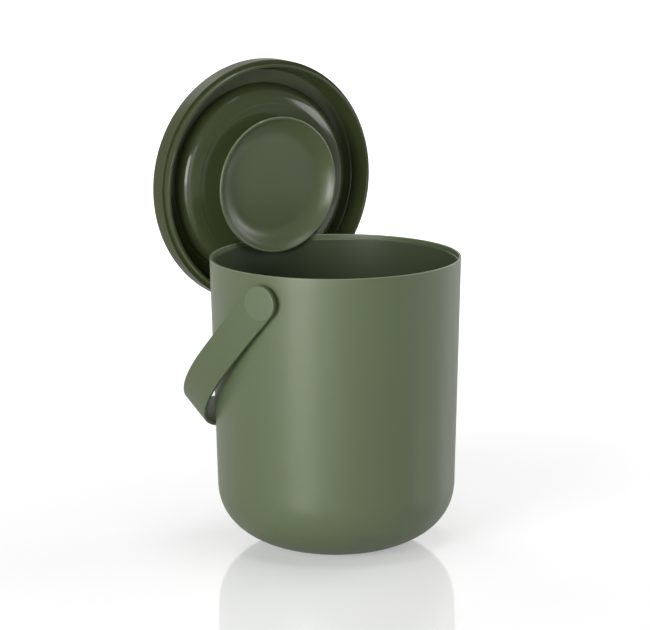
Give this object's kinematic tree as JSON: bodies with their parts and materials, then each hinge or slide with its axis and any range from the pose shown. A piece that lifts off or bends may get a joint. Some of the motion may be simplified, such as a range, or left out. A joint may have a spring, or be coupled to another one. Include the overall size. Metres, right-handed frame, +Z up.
{
  "type": "compost caddy",
  "caption": "Round kitchen compost caddy with a swinging strap handle and a flush lid hung open on the rim by the dish under its middle.",
  "frame": {"origin": "centre of the flat foot under the bin", "axes": "+Z up through the bin's axis, Y along the handle's pivots, and the strap hangs down towards -X"},
  "size_m": [0.224, 0.2236, 0.3393],
  "materials": {
    "bin_green": "fine matt olive green, slightly satin",
    "strap_green": "smooth matt olive green",
    "lid_green": "satin olive green",
    "liner_green": "smooth satin to glossy dark olive green",
    "bush_plastic": "plain moulded plastic",
    "screw_steel": "zinc plated"
  },
  "bodies": {
    "bin": {"bin_body": "bin_green", "pivot_bush_left": "bush_plastic", "pivot_bush_right": "bush_plastic", "pivot_screw_left": "screw_steel", "pivot_screw_right": "screw_steel"},
    "handle": {"strap_handle": "strap_green", "pivot_cap_left": "strap_green", "pivot_cap_right": "strap_green"},
    "lid": {"lid_cover": "lid_green", "lid_liner": "liner_green", "hanging_dish": "lid_green"}
  },
  "joints": [
    {"name": "handle_swing", "type": "hinge", "parent": "bin", "child": "handle", "pos_m": [0, 0, 0.1897], "axis": [0, 1, 0], "range_deg": [0, 22]},
    {"name": "lid_lift", "type": "slide", "parent": "bin", "child": "lid", "axis": [0, 0, 1], "range_m": [0, 0.06]}
  ]
}
